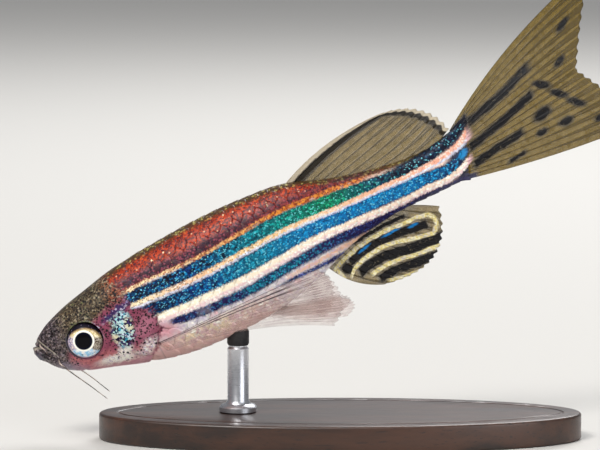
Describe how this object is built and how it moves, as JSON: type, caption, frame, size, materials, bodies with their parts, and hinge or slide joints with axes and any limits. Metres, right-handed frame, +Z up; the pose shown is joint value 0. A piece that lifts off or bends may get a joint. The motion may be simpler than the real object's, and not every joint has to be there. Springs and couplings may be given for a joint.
{
  "type": "zebra danio",
  "caption": "Life-size still model of a zebra danio gliding head down with its tail raised, held by one short rod on a small oval wooden base.",
  "frame": {"origin": "centre of the underside of the stand's base, which is the middle of the whole model's box at its lowest level", "axes": "+Z up, +X from the snout towards the tail, so the fish faces -X with its left flank towards -Y"},
  "size_m": [0.046, 0.015, 0.035],
  "materials": {
    "head_skin": "olive-brown skin with fine dark specks, pink on the cheek, satin",
    "gill_cover": "pink to turquoise iridescent plate, satin",
    "eye": "clear cornea over a silver-white iris ring and a black pupil",
    "body_skin": "small scales, red back, metallic blue stripes between cream ones, satin",
    "fin_membrane": "thin translucent olive membrane with fine rays",
    "anal_fin_membrane": "thin translucent membrane, yellow and navy stripes",
    "caudal_fin_membrane": "thin translucent olive-yellow membrane with dark stripes and spots",
    "paired_fin_membrane": "thin clear membrane with brown rays",
    "barbel": "pale skin, tapering, satin",
    "stand_wood": "dark wood, satin lacquer",
    "stand_metal": "brushed steel"
  },
  "bodies": {
    "root": {"head": "head_skin", "lower_jaw": "head_skin", "gill_cover_left": "gill_cover", "gill_cover_right": "gill_cover", "eye_left": "eye", "eye_right": "eye", "trunk": "body_skin", "tail_stalk": "body_skin", "dorsal_fin": "fin_membrane", "anal_fin": "anal_fin_membrane", "caudal_fin": "caudal_fin_membrane", "pectoral_fin_left": "paired_fin_membrane", "pectoral_fin_right": "paired_fin_membrane", "pelvic_fin_left": "paired_fin_membrane", "pelvic_fin_right": "paired_fin_membrane", "barbel_maxillary_left": "barbel", "barbel_maxillary_right": "barbel", "barbel_rostral_left": "barbel", "barbel_rostral_right": "barbel", "stand_base": "stand_wood", "stand_rod": "stand_metal"}
  },
  "joints": []
}
